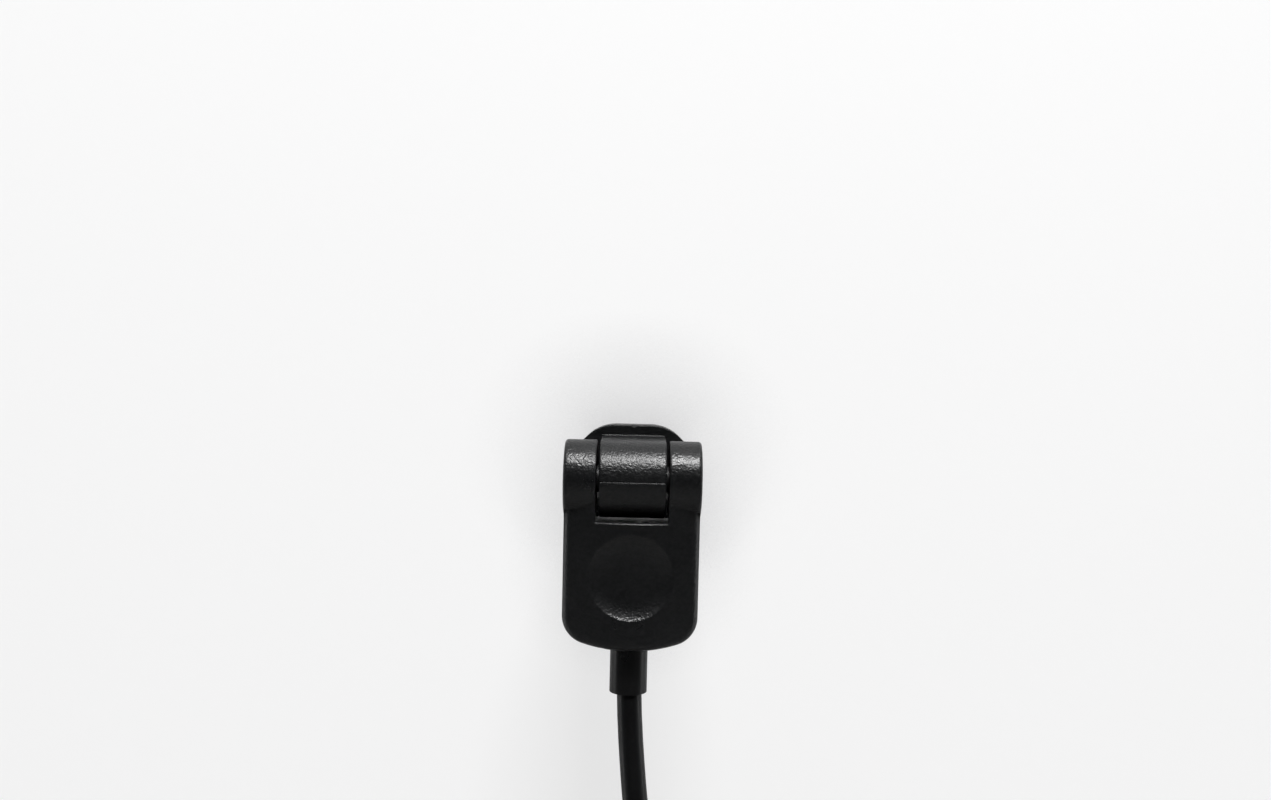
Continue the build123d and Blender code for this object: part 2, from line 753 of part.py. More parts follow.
# Contacts: a socket for each pin, closed behind, with a crimp tail for the core
for contact_name, (contact_x, contact_y) in coupling_places.items():
    contact_plane = Plane(at_coupling(contact_x, contact_y, 0), x_dir=(1, 0, 0), z_dir=(0, -1, 0))
    contact_back = contact_mouth + contact_bore_length
    with BuildPart() as contact:
        turn_profile(
            contact_plane,
            [
                (0, contact_back),
                (contact_bore, contact_back),
                (contact_bore, contact_mouth),
                (contact_radius, contact_mouth),
                (contact_radius, contact_back + contact_end),
                (crimp_radius, contact_back + contact_end),
                (crimp_radius, contact_tail),
                (core_radius + seat, contact_tail),
                (core_radius + seat, contact_tail - crimp_depth),
                (0, contact_tail - crimp_depth),
            ],
        )
    contact.part.label = f"coupling_{contact_name}_contact"
    export_step(contact.part, f"parts/coupling_{contact_name}_contact.step")

# Cores in the coupling: from the end of the jacket to the contacts' tails
for core_name, (end_x, end_y) in core_places.items():
    contact_x, contact_y = coupling_places[core_name]
    with BuildPart() as coupling_core:
        run_round(
            [
                at_coupling(contact_x, contact_y, contact_tail - crimp_depth),
                at_coupling(contact_x, contact_y, contact_tail + contact_lead),
                at_coupling(end_x, end_y, coupling_jacket_end - jacket_lead),
                at_coupling(end_x, end_y, coupling_jacket_end),
            ],
            [core_bend] * 2,
            core_radius,
        )
    coupling_core.part.label = f"coupling_{core_name}_core"
    export_step(coupling_core.part, f"parts/coupling_{core_name}_core.step")

# Strain relief of the coupling, its flange held in the rear wall's nest
with BuildPart() as coupling_strain_relief:
    turn_profile(
        coupling_front,
        [
            (cord_radius + loose, coupling_floor - relief_flange_length),
            (coupling_flange_radius, coupling_floor - relief_flange_length),
            (coupling_flange_radius, coupling_floor),
            (coupling_relief_radius, coupling_floor),
            (coupling_relief_radius, coupling_length + coupling_relief_length),
            (cord_radius + loose + relief_flare, coupling_length + coupling_relief_length),
            (cord_radius + loose, coupling_length + coupling_relief_length - relief_flare_length),
        ],
    )
coupling_strain_relief.part.label = "coupling_strain_relief"
export_step(coupling_strain_relief.part, "parts/coupling_strain_relief.step")
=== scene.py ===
# %% [markdown]
# # A folding plug with its extension cord
# The object is a black three-pin plug whose grip folds flat along the wall on a hinge. A round cord leaves
# the grip downwards, is put away in a strapped coil and ends in an in-line socket coupling. The rigid parts
# were modelled as solids and are loaded here as a fixed frame. This file adds what the solids don't give:
# the wound cord and its straps, a crowned front for the grip, dark sheets that paint the shade in its slot,
# and a finish for every surface.

# %% Load the frame
import json
import math
import random

import bpy
from mathutils import Matrix, Vector


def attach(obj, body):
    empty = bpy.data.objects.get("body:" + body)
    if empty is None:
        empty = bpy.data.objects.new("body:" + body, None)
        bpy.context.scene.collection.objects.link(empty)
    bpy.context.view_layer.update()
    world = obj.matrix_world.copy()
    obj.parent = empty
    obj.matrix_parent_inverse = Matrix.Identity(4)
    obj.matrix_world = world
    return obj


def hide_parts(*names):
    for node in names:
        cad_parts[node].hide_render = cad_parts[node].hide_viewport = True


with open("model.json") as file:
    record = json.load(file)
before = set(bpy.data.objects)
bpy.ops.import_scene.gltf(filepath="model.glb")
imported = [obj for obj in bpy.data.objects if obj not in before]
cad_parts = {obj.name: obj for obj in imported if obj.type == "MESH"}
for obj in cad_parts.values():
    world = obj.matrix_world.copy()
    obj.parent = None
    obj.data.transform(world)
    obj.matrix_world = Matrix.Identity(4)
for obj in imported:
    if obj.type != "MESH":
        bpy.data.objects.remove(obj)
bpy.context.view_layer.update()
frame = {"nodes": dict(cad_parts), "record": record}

mm = 0.001
nodes = frame["nodes"]

# %% [markdown]
# ## The camera
# A photograph is matched by its focal length in pixels, the camera's place and two small turns. The camera
# stands a third of a metre in front of the wall, a little above the plug, and is tipped down and rolled by
# about a degree. Blender wants the focal length in millimetres on a 36 mm wide sensor, so the pixels are
# scaled to that.

# %% Camera
image_width = 1271
focal_pixels = 1119
sensor_width = 36
camera_place = Vector((0.24, -309.5, 21.2)) * mm
camera_dip = math.radians(1.1)
camera_roll = math.radians(1.3)

camera_data = bpy.data.cameras.new("Camera")
camera_data.sensor_width = sensor_width
camera_data.lens = focal_pixels / image_width * sensor_width
camera_data.clip_start = 0.01
camera = bpy.data.objects.new("Camera", camera_data)
camera.matrix_world = (
    Matrix.Translation(camera_place)
    @ Matrix.Rotation(math.pi / 2 - camera_dip, 4, "X")
    @ Matrix.Rotation(camera_roll, 4, "Z")
)
bpy.context.scene.collection.objects.link(camera)
bpy.context.scene.camera = camera
print("lens:", round(camera_data.lens, 2), "mm")

# %% [markdown]
# ## The cord's line
# The cord is one smooth curve. It leaves the grip straight down, swings out to the right and joins the coil,
# goes round it eight times and a bit, and hangs down from the coil's right side to the coupling. Both its
# ends are a few listed points, and an eased line joins each to the coil. The turns are worked out:
# a point of a turn is given by its angle on the ring and by two offsets in the bundle's section, outwards
# and along the wall's normal.

# %% The cord's ends and the coil's sizes
cord_diameter = 6.4 * mm
lead_points = [(0, -20.5, -40.85), (0, -20.5, -60.5), (2.0, -27.0, -83)]
tail_points = [(39.5, -31.5, -211), (39.5, -31.5, -236.85)]
free_points = 6
lead_pull = 18 * mm
tail_pull = 20 * mm

coil_centre = Vector((5, -31, -157)) * mm
coil_radius = 36.8 * mm
strand_radius = 42.9 * mm
bundle_room = 7.8 * mm
crossing_room = 8.8 * mm
steps_per_turn = 36
first_angle = 60
full_turns = 8
coil_steps = full_turns * steps_per_turn + first_angle * steps_per_turn // 360

# %% [markdown]
# ## How turns lie in a bundle
# In a hand-wound coil the turns sink into each other's gaps until they touch. That is found by a few hundred
# small moves: each point drifts towards the middle of its neighbours on the cord, points of different turns
# that are nearer than a diameter push each other apart, and the straps press all of them back into the
# bundle. A few rounds of drifting alone come last and smooth what the pushes left uneven. The coil is worked
# out with a few steps of straight cord before and after it, which are held still.

# %% Turns of the coil
run_in = 4
settling_rounds = 300
smoothing_rounds = 10
side_step = 3.0 * mm
starting_ring = 7.4 * mm
core_wander = 0.3 * mm
drift_share = 0.25


def free_strand_offset(steps_away):
    """How far outwards a straight strand lies, that many steps before or after it touches the coil."""
    turn = 2 * math.pi * steps_away / steps_per_turn
    return strand_radius / math.cos(turn) - coil_radius


def starting_offsets():
    """Seven turns side by side round an eighth one, which runs in the middle."""
    generator = random.Random(4)
    offsets = []
    for step in range(-run_in, coil_steps + run_in + 1):
        turn = step / steps_per_turn
        if step < 0:
            offsets.append([free_strand_offset(step), -side_step])
        elif step > coil_steps:
            offsets.append([free_strand_offset(step - coil_steps), side_step])
        elif turn < full_turns - 1:
            angle = 2 * math.pi * turn / (full_turns - 1)
            sideways = side_step * max(0, 1 - 3 * turn)
            offsets.append([starting_ring * math.cos(angle), starting_ring * math.sin(angle) - sideways])
        else:
            offsets.append([generator.uniform(-1, 1) * core_wander, generator.uniform(-1, 1) * core_wander])
    return offsets


def pull_together(offsets, held):
    """Move each point a quarter of the way to the middle of its neighbours."""
    before = [list(offset) for offset in offsets]
    for index in range(1, len(offsets) - 1):
        if index not in held:
            for axis in (0, 1):
                middle = (before[index - 1][axis] + before[index + 1][axis]) / 2
                offsets[index][axis] += drift_share * (middle - before[index][axis])


def push_apart(offsets, members, held):
    """Push points of one section apart until they are a diameter away from each other."""
    for number, first in enumerate(members):
        for second in members[number + 1:]:
            a, b = offsets[first], offsets[second]
            across, along = b[0] - a[0], b[1] - a[1]
            distance = math.hypot(across, along) + 1e-9
            if distance < cord_diameter:
                push = (cord_diameter - distance) / distance / 2
                share_a = 0 if first in held else 2 if second in held else 1
                share_b = 0 if second in held else 2 if first in held else 1
                offsets[first] = [a[0] - across * push * share_a, a[1] - along * push * share_a]
                offsets[second] = [b[0] + across * push * share_b, b[1] + along * push * share_b]


def press_in(offsets, members, held):
    """Press the points of one section back into the bundle, which is wider where nine turns lie."""
    room = crossing_room if len(members) > full_turns else bundle_room
    for index in members:
        reach = math.hypot(*offsets[index])
        if index not in held and reach > room:
            share = (1 + room / reach) / 2
            offsets[index] = [offsets[index][0] * share, offsets[index][1] * share]


def settle_turns():
    """The offsets of all the coil's points, settled and smoothed, without the straight steps."""
    offsets = starting_offsets()
    held = set(range(run_in)) | set(range(len(offsets) - run_in, len(offsets)))
    sections = [range(first, len(offsets), steps_per_turn) for first in range(steps_per_turn)]
    for _ in range(settling_rounds):
        pull_together(offsets, held)
        for members in sections:
            push_apart(offsets, list(members), held)
            press_in(offsets, list(members), held)
    for _ in range(smoothing_rounds):
        pull_together(offsets, held)
    return offsets[run_in:-run_in]


settled = settle_turns()


def coil_point(step):
    """A point of the coiled cord, from its step along the turns."""
    angle = math.radians(first_angle) - 2 * math.pi * step / steps_per_turn
    outwards, along = settled[step]
    radius = coil_radius + outwards
    return coil_centre + Vector((radius * math.cos(angle), along, radius * math.sin(angle)))


print("coil:", len(settled), "points")

# %% [markdown]
# ## The cord itself
# A NURBS curve of order 3 runs smoothly along its control points, which suits a cord: it never kinks and it
# cuts each corner a little, as a real cord does. A round bevel gives it its thickness. The points stay about
# evenly spaced from end to end, because a jump in their spacing would show as a sharp bend.

# %% Cord


def free_stretch(start, end, start_way, end_way):
    """Even points of a smooth line between two places, which leaves and arrives the way it's told."""
    leave, arrive = start + start_way, end - end_way
    points = []
    for number in range(1, free_points + 1):
        t = number / (free_points + 1)
        s = 1 - t
        points.append(s**3 * start + 3 * s * s * t * leave + 3 * s * t * t * arrive + t**3 * end)
    return points


cord_data = bpy.data.curves.new("cord", "CURVE")
cord_data.dimensions = "3D"
cord_data.bevel_depth = cord_diameter / 2
cord_data.bevel_resolution = 6
cord_data.resolution_u = 4
cord_data.use_fill_caps = True
spline = cord_data.splines.new("NURBS")
lead = [Vector(point) * mm for point in lead_points]
turns = [coil_point(step) for step in range(coil_steps + 1)]
tail = [Vector(point) * mm for point in tail_points]
lead_way = lead_pull * (lead[-1] - lead[-2]).normalized()
turns_way = lead_pull * (turns[1] - turns[0]).normalized()
leaving_way = tail_pull * (turns[-1] - turns[-2]).normalized()
tail_way = Vector((0, 0, -tail_pull))
route = lead + free_stretch(lead[-1], turns[0], lead_way, turns_way)
route += turns + free_stretch(turns[-1], tail[0], leaving_way, tail_way) + tail
spline.points.add(len(route) - 1)
for point, place in zip(spline.points, route):
    point.co = (*place, 1)
spline.order_u = 3
spline.use_endpoint_u = True
cord = bpy.data.objects.new("cord", cord_data)
bpy.context.scene.collection.objects.link(cord)
cord_length = sum((b - a).length for a, b in zip(route, route[1:]))
print("cord:", round(cord_length, 3), "m along its points")

# %% [markdown]
# ## Straps round the coil
# Two hook-and-loop straps tie the coil. A real one is a flat band pulled round the bundle, so its line is
# the outline of a rubber band laid round the strands: at each direction, the strand that reaches furthest
# holds it out. An open cylinder gives the band its faces, and each of its points is moved out to that line.

# %% Outline of the bundle under a strap
strap_angles = {"upper_strap": 35, "lower_strap": 215}
slope_step = math.radians(2)


def strands_at(angle):
    """Offsets of the strands that pass one angle on the ring, outwards and along the wall's normal."""
    found = []
    step = (first_angle - angle) / 360 * steps_per_turn % steps_per_turn
    while step <= coil_steps:
        low = int(step)
        share = step - low
        high = min(low + 1, coil_steps)
        found.append([settled[low][axis] * (1 - share) + settled[high][axis] * share for axis in (0, 1)])
        step += steps_per_turn
    return found


def band_reach(strands, direction):
    """How far the bundle reaches in one direction of its section."""
    across, along = math.cos(direction), math.sin(direction)
    return max(strand[0] * across + strand[1] * along for strand in strands) + cord_diameter / 2


def band_point(strands, direction):
    """The point of the band's line whose normal has that direction, from the reach and its slope."""
    reach = band_reach(strands, direction)
    rise = band_reach(strands, direction + slope_step) - band_reach(strands, direction - slope_step)
    slope = rise / (2 * slope_step)
    across, along = math.cos(direction), math.sin(direction)
    return reach * across - slope * along, reach * along + slope * across


for strap_name, angle in strap_angles.items():
    strands = strands_at(angle)
    reaches = [band_reach(strands, math.radians(turn)) / mm for turn in range(0, 360, 30)]
    least, most = round(min(reaches), 1), round(max(reaches), 1)
    print(strap_name, len(strands), "strands, reach", least, "to", most, "mm")

# %% [markdown]
# ## Making a strap
# The band is closed on itself, and a second layer covers a third of it: the free end with its hooks, pressed
# onto the loops. The layer is a copy of the band's faces, marked by a larger radius and then laid a strap's
# thickness further out. Solidify gives both their thickness, and a small bevel takes the hard edge off the
# webbing.

# %% Straps
strap_width = 12 * mm
strap_thickness = 0.8 * mm
strap_points = 96
strap_play = 0.1 * mm
layer_gap = 0.05 * mm
layer_mark = 1.1
strap_edge = 0.15 * mm
free_end_from = 200
free_end_to = 330
smooth_angle = math.radians(40)


def deselect_all():
    """Leave nothing selected, so that the next operator acts on its own piece alone."""
    bpy.ops.object.select_all(action="DESELECT")


def work_on(piece):
    """Make one piece the only selected one, and the active one."""
    deselect_all()
    bpy.context.view_layer.objects.active = piece
    piece.select_set(True)


def thicken(piece, thickness):
    """Give the faces of a piece a thickness, outwards."""
    modifier = piece.modifiers.new("thickness", "SOLIDIFY")
    modifier.thickness = thickness
    modifier.offset = 1


def apply_modifiers(piece):
    """Apply every modifier of a piece, from first to last."""
    work_on(piece)
    for modifier in list(piece.modifiers):
        bpy.ops.object.modifier_apply(modifier=modifier.name)


def strap(name, angle):
    """A band round the bundle at one angle of the ring, with its free end pressed on from outside."""
    strands = strands_at(angle)
    turn = math.radians(angle)
    outwards = Vector((math.cos(turn), 0, math.sin(turn)))
    along_normal = Vector((0, 1, 0))
    along_cord = outwards.cross(along_normal)
    middle = coil_centre + coil_radius * outwards
    deselect_all()
    bpy.ops.mesh.primitive_cylinder_add(
        vertices=strap_points, radius=1, depth=1, end_fill_type="NOTHING", location=(0, 0, 0)
    )
    band = bpy.context.object
    band.name = name
    bpy.ops.object.mode_set(mode="EDIT")
    bpy.ops.mesh.select_all(action="SELECT")
    bpy.ops.mesh.subdivide(number_cuts=1)
    bpy.ops.mesh.select_all(action="DESELECT")
    bpy.ops.object.mode_set(mode="OBJECT")
    for face in band.data.polygons:
        direction = math.degrees(math.atan2(face.center.y, face.center.x)) % 360
        face.select = free_end_from < direction < free_end_to
    bpy.ops.object.mode_set(mode="EDIT")
    bpy.ops.mesh.duplicate()
    bpy.ops.mesh.normals_make_consistent(inside=False)
    bpy.ops.transform.resize(value=(layer_mark, layer_mark, 1))
    bpy.ops.object.mode_set(mode="OBJECT")
    for vertex in band.data.vertices:
        direction = math.atan2(vertex.co.y, vertex.co.x)
        is_free_end = math.hypot(vertex.co.x, vertex.co.y) > (1 + layer_mark) / 2
        across, along = band_point(strands, direction)
        lift = strap_play + is_free_end * (strap_thickness + layer_gap)
        across += lift * math.cos(direction)
        along += lift * math.sin(direction)
        place = middle + across * outwards + along * along_normal
        vertex.co = place + vertex.co.z * strap_width * along_cord
    work_on(band)
    bpy.ops.object.mode_set(mode="EDIT")
    bpy.ops.mesh.select_all(action="SELECT")
    bpy.ops.mesh.normals_make_consistent(inside=False)
    bpy.ops.object.mode_set(mode="OBJECT")
    thicken(band, strap_thickness)
    edge = band.modifiers.new("edge", "BEVEL")
    edge.width = strap_edge
    edge.segments = 2
    edge.limit_method = "ANGLE"
    apply_modifiers(band)
    bpy.ops.object.shade_smooth_by_angle(angle=smooth_angle)
    return band


straps = [strap(name, angle) for name, angle in strap_angles.items()]
print("straps:", [len(piece.data.polygons) for piece in straps], "faces")

# %% [markdown]
# ## Painted shade behind the hinge's slot
# Seen from the front, nothing but black shows beside and under the hinge's barrel, where the slot looks
# through onto a wall in deep shade. Dark sheets of the housing's plastic paint that shade: a thin arc on
# each ear's inner side, beside the barrel, and a curved web behind the barrel's lower part. Each is an open
# cylinder about the hinge with all but its arc deleted, and Solidify gives it its thickness. They turn with
# the grip, and all stay clear of the neck when it's raised.

# %% Slot shade sheets
hinge = Vector((0, -20.5, -4.8)) * mm
slot_half_width = 9.25 * mm
slot_wall = 1.2 * mm
web_radius = 10.35 * mm
web_width = 2 * slot_half_width + 0.6 * mm
web_arc = (51, 99)
lip_radius = 8.7 * mm
lip_width = 0.96 * mm
lip_middle = 9.1 * mm
lip_arc = (12, 93)


def arc_wall(middle_x, width, radius, arc):
    """A wall round the hinge between two angles, from 0 towards the wall to 90 straight down."""
    first, last = arc
    deselect_all()
    bpy.ops.mesh.primitive_cylinder_add(
        vertices=120, radius=radius, depth=width, end_fill_type="NOTHING",
        location=hinge + Vector((middle_x, 0, 0)), rotation=(0, math.pi / 2, 0),
    )
    bpy.ops.object.transform_apply(location=True, rotation=True, scale=True)
    piece = bpy.context.object
    for face in piece.data.polygons:
        turn = math.degrees(math.atan2(hinge.z - face.center.z, face.center.y - hinge.y))
        face.select = not first < turn < last
    bpy.ops.object.mode_set(mode="EDIT")
    bpy.ops.mesh.select_mode(type="FACE")
    bpy.ops.mesh.delete(type="FACE")
    bpy.ops.object.mode_set(mode="OBJECT")
    thicken(piece, slot_wall)
    apply_modifiers(piece)
    return piece


# Dark sheets, in the housing's black, that paint the shade seen through the slot.
arcs = [
    arc_wall(0, web_width, web_radius, web_arc),
    arc_wall(-lip_middle, lip_width, lip_radius, lip_arc),
    arc_wall(lip_middle, lip_width, lip_radius, lip_arc),
]
deselect_all()
for arc in arcs:
    arc.select_set(True)
bpy.context.view_layer.objects.active = arcs[0]
bpy.ops.object.join()
slot_shade_sheets = bpy.context.object
slot_shade_sheets.name = "slot_shade_sheets"
bpy.ops.object.origin_set(type="ORIGIN_CURSOR")
bpy.ops.object.shade_smooth_by_angle(angle=smooth_angle)
print("slot web:", len(slot_shade_sheets.data.polygons), "faces")

# %% [markdown]
# ## The grip's crowned front
# The solid's front is flat; the real one swells by about a millimetre in the middle and falls away to the
# sides, which is why the crease under each ear runs downhill. A copy of the front shell is cut into strips,
# and each point of its skin is moved to the crowned surface. The dish keeps its rim and gets a flatter floor
# and steeper sides, so that its lower rim catches the light. The ears stay round: their points move only
# where the crown stands out past them. The shell's inner side hardly moves. All depths are counted forwards
# from the hinge.

# %% Crowned front shell
front_depth = 8.1 * mm
crown_depth = 9.2 * mm
crown_radius = 56 * mm
still_depth = 1.5 * mm
skin_depth = 6.3 * mm
dish_middle = hinge.z - 24.2 * mm
dish_reach = 10.9 * mm
dish_margin = 0.15 * mm
dish_floor_depth = front_depth - 1.55 * mm
dish_drop = 1.9 * mm
dish_steepness = 4.2
ear_radius = 10 * mm
ear_still_down = 4.5 * mm
ear_still_depth = 5 * mm
ear_tolerance = 0.05 * mm
upright_cuts = [number * mm for number in range(-16, 17)]
ear_cuts = [hinge.z - 0.3 * number * mm for number in range(15, 27)]
level_cuts = [hinge.z - 2 * number * mm for number in range(5, 22)]


def cut_across(axis, places):
    """Cut all visible faces of the piece in edit mode along planes square to one axis."""
    normal = Vector((1, 0, 0)) if axis == "x" else Vector((0, 0, 1))
    for place in places:
        bpy.ops.mesh.select_all(action="SELECT")
        bpy.ops.mesh.bisect(plane_co=place * normal, plane_no=normal)


def crowned_depth(x, depth, down):
    """How far in front of the hinge a point of the shell comes to lie."""
    target = crown_depth - crown_radius + math.sqrt(crown_radius**2 - x**2)
    across = math.hypot(x, down - (hinge.z - dish_middle))
    if depth > dish_floor_depth and across < dish_reach + dish_margin:
        return target - dish_drop * max(0, 1 - (across / dish_reach) ** dish_steepness)
    share = min(max((depth - still_depth) / (front_depth - still_depth), 0), 1)
    moved = depth + share * (target - front_depth)
    if abs(x) > slot_half_width - ear_tolerance and down < ear_radius:
        if down < ear_still_down or depth < ear_still_depth:
            return depth
        if abs(math.hypot(depth, down) - ear_radius) < ear_tolerance:
            return max(depth, target)
        return max(moved, min(depth, math.sqrt(ear_radius**2 - down**2)))
    return moved


crowned = nodes["grip_front_shell"].copy()
crowned.data = crowned.data.copy()
crowned.name = "crowned_front"
bpy.context.scene.collection.objects.link(crowned)
work_on(crowned)
bpy.ops.mesh.customdata_custom_splitnormals_clear()
bpy.ops.object.mode_set(mode="EDIT")
bpy.ops.mesh.select_mode(type="FACE")
bpy.ops.mesh.select_all(action="SELECT")
bpy.ops.mesh.remove_doubles(threshold=0.01 * mm)
bpy.ops.mesh.select_all(action="DESELECT")
bpy.ops.object.mode_set(mode="OBJECT")
for face in crowned.data.polygons:
    from_dish = math.hypot(face.center.x, face.center.z - dish_middle)
    face.select = hinge.y - face.center.y < skin_depth or from_dish < dish_reach
bpy.ops.object.mode_set(mode="EDIT")
bpy.ops.mesh.hide(unselected=False)
cut_across("x", upright_cuts)
cut_across("z", ear_cuts)
cut_across("z", level_cuts)
bpy.ops.mesh.reveal(select=False)
bpy.ops.object.mode_set(mode="OBJECT")
for vertex in crowned.data.vertices:
    x, depth, down = vertex.co.x, hinge.y - vertex.co.y, hinge.z - vertex.co.z
    if depth > still_depth and down > 0:
        vertex.co.y = hinge.y - crowned_depth(x, depth, down)
bpy.ops.object.shade_smooth_by_angle(angle=math.radians(25))
print("crowned front:", len(crowned.data.polygons), "faces")

# %% [markdown]
# ## A grained surface
# The plug's mould was spark-eroded, which leaves a fine even grain. Seen close, it is a field of small
# rounded pits; in a highlight, it sparkles. Two noises of different size give the grain, and a slow noise
# varies how polished it is, as hands rub some places. Moulded edges are never sharp, so the normal is
# rounded at every edge first. The group hands out a normal and two masks, and each material decides what to
# do with them.

# %% Shader groups


def new_group(name, inputs, outputs):
    """A shader node group with its sockets, and the nodes for its inputs and outputs."""
    group = bpy.data.node_groups.new(name, "ShaderNodeTree")
    for socket, kind, value in inputs:
        made = group.interface.new_socket(socket, in_out="INPUT", socket_type=kind)
        if value is not None:
            made.default_value = value
    for socket, kind in outputs:
        group.interface.new_socket(socket, in_out="OUTPUT", socket_type=kind)
    start = group.nodes.new("NodeGroupInput")
    end = group.nodes.new("NodeGroupOutput")
    return group, start, end


def noise(tree, vector, scale, detail=2.0, roughness=0.5):
    """A noise texture that reads a vector, at a scale in features per metre."""
    texture = tree.nodes.new("ShaderNodeTexNoise")
    texture.inputs["Detail"].default_value = detail
    texture.inputs["Roughness"].default_value = roughness
    tree.links.new(vector, texture.inputs["Vector"])
    if isinstance(scale, (int, float)):
        texture.inputs["Scale"].default_value = scale
    else:
        tree.links.new(scale, texture.inputs["Scale"])
    return texture.outputs["Fac"]


def math_node(tree, operation, first, second=0.0, third=None):
    """The result of one sum, each side a number or a socket."""
    node = tree.nodes.new("ShaderNodeMath")
    node.operation = operation
    values = (first, second) if third is None else (first, second, third)
    for index, value in enumerate(values):
        if isinstance(value, (int, float)):
            node.inputs[index].default_value = value
        else:
            tree.links.new(value, node.inputs[index])
    return node.outputs[0]


def stretch(tree, value, low, high, new_low=0.0, new_high=1.0):
    """A value spread from one range to another, without leaving it."""
    node = tree.nodes.new("ShaderNodeMapRange")
    node.inputs["From Min"].default_value = low
    node.inputs["From Max"].default_value = high
    node.inputs["To Min"].default_value = new_low
    node.inputs["To Max"].default_value = new_high
    tree.links.new(value, node.inputs["Value"])
    return node.outputs["Result"]


def make_grain_group():
    """Spark-eroded grain: a bumped normal, the pits' mask and a slow mask of polish."""
    group, start, end = new_group(
        "moulded grain",
        [
            ("Vector", "NodeSocketVector", None),
            ("Grain per metre", "NodeSocketFloat", 3200.0),
            ("Strength", "NodeSocketFloat", 0.5),
            ("Depth", "NodeSocketFloat", 0.00004),
            ("Edge radius", "NodeSocketFloat", 0.0003),
        ],
        [("Normal", "NodeSocketVector"), ("Pits", "NodeSocketFloat"), ("Polish", "NodeSocketFloat")],
    )
    vector = start.outputs["Vector"]
    fine = noise(group, vector, start.outputs["Grain per metre"], 1.0, 0.6)
    coarse = noise(group, vector, math_node(group, "MULTIPLY", start.outputs["Grain per metre"], 0.6), 0.0)
    height = math_node(group, "MULTIPLY_ADD", fine, 0.6, math_node(group, "MULTIPLY", coarse, 0.4))
    pits = stretch(group, height, 0.36, 0.64)
    polish = stretch(group, noise(group, vector, 90.0, 3.0), 0.35, 0.7)
    edge = group.nodes.new("ShaderNodeBevel")
    edge.samples = 4
    group.links.new(start.outputs["Edge radius"], edge.inputs["Radius"])
    bump = group.nodes.new("ShaderNodeBump")
    group.links.new(edge.outputs["Normal"], bump.inputs["Normal"])
    group.links.new(start.outputs["Strength"], bump.inputs["Strength"])
    group.links.new(start.outputs["Depth"], bump.inputs["Distance"])
    group.links.new(pits, bump.inputs["Height"])
    group.links.new(bump.outputs["Normal"], end.inputs["Normal"])
    group.links.new(pits, end.inputs["Pits"])
    group.links.new(polish, end.inputs["Polish"])
    return group


grain_group = make_grain_group()

# %% [markdown]
# ## Materials
# Every material is a Principled shader with plain values on its own sockets, and masks that change over the
# surface for colour and roughness. The black plastics differ mostly in grain and gloss: housings are grained
# and satin, the strain reliefs and the cord are smooth and soft, the pins' sleeves are glossy.

# %% Helpers for materials


def new_material(name, roughness, metallic=0.0, specular=0.5):
    """A material with its Principled shader, and the object's own coordinates."""
    material = bpy.data.materials.new(name)
    material.use_nodes = True
    tree = material.node_tree
    shader = tree.nodes["Principled BSDF"]
    shader.inputs["Roughness"].default_value = roughness
    shader.inputs["Metallic"].default_value = metallic
    shader.inputs["Specular IOR Level"].default_value = specular
    place = tree.nodes.new("ShaderNodeTexCoord").outputs["Object"]
    return material, tree, shader, place


def mix_colours(tree, mask, first, second):
    """One colour where the mask is 0, and another where it is 1."""
    node = tree.nodes.new("ShaderNodeMix")
    node.data_type = "RGBA"
    node.inputs["A"].default_value = (*first, 1)
    node.inputs["B"].default_value = (*second, 1)
    tree.links.new(mask, node.inputs["Factor"])
    return node.outputs["Result"]


def mix_shaders(tree, mask, first, second):
    """One shader where the mask is 0, and another where it is 1."""
    node = tree.nodes.new("ShaderNodeMixShader")
    tree.links.new(mask, node.inputs["Fac"])
    tree.links.new(first, node.inputs[1])
    tree.links.new(second, node.inputs[2])
    return node.outputs["Shader"]


def bump_surface(tree, shader, height, strength, depth):
    """Bump a material's surface by a height, as deep as a length in metres."""
    bump = tree.nodes.new("ShaderNodeBump")
    bump.inputs["Strength"].default_value = strength
    bump.inputs["Distance"].default_value = depth
    tree.links.new(height, bump.inputs["Height"])
    tree.links.new(bump.outputs["Normal"], shader.inputs["Normal"])


def grained_plastic(name, dark, light, roughness, grain, strength, depth, specular=0.5, edge=0.2 * mm):
    """Moulded plastic with a spark-eroded grain, dark in its pits and lighter between them."""
    material, tree, shader, place = new_material(name, roughness, specular=specular)
    effect = tree.nodes.new("ShaderNodeGroup")
    effect.node_tree = grain_group
    effect.inputs["Grain per metre"].default_value = grain
    effect.inputs["Strength"].default_value = strength
    effect.inputs["Depth"].default_value = depth
    effect.inputs["Edge radius"].default_value = edge
    tree.links.new(place, effect.inputs["Vector"])
    tree.links.new(mix_colours(tree, effect.outputs["Pits"], dark, light), shader.inputs["Base Color"])
    polished = stretch(tree, effect.outputs["Polish"], 0, 1, roughness + 0.05, roughness - 0.05)
    tree.links.new(polished, shader.inputs["Roughness"])
    tree.links.new(effect.outputs["Normal"], shader.inputs["Normal"])
    return material


# %% [markdown]
# ## The plastics
# Each has a colour for its pits and one for the surface between them, and a grain in features per metre. The
# strength and depth of the grain are largest on the housings, whose edges are the most rounded too.

# %% Plastics
housing = grained_plastic(
    "black housing", dark=(0.004, 0.0042, 0.0045), light=(0.008, 0.0083, 0.0088), roughness=0.32,
    grain=2000, strength=0.8, depth=0.06 * mm, specular=0.35, edge=0.6 * mm,
)
relief = grained_plastic(
    "strain relief", dark=(0.0036, 0.0037, 0.0039), light=(0.0048, 0.0049, 0.0052), roughness=0.32,
    grain=3500, strength=0.3, depth=0.01 * mm, specular=0.22,
)
jacket = grained_plastic(
    "cord jacket", dark=(0.0036, 0.0036, 0.0038), light=(0.0048, 0.0048, 0.005), roughness=0.32,
    grain=2500, strength=0.2, depth=0.01 * mm, specular=0.22,
)
carrier = grained_plastic(
    "contact carrier", dark=(0.009, 0.009, 0.0095), light=(0.012, 0.012, 0.0125), roughness=0.5,
    grain=5000, strength=0.3, depth=0.02 * mm,
)
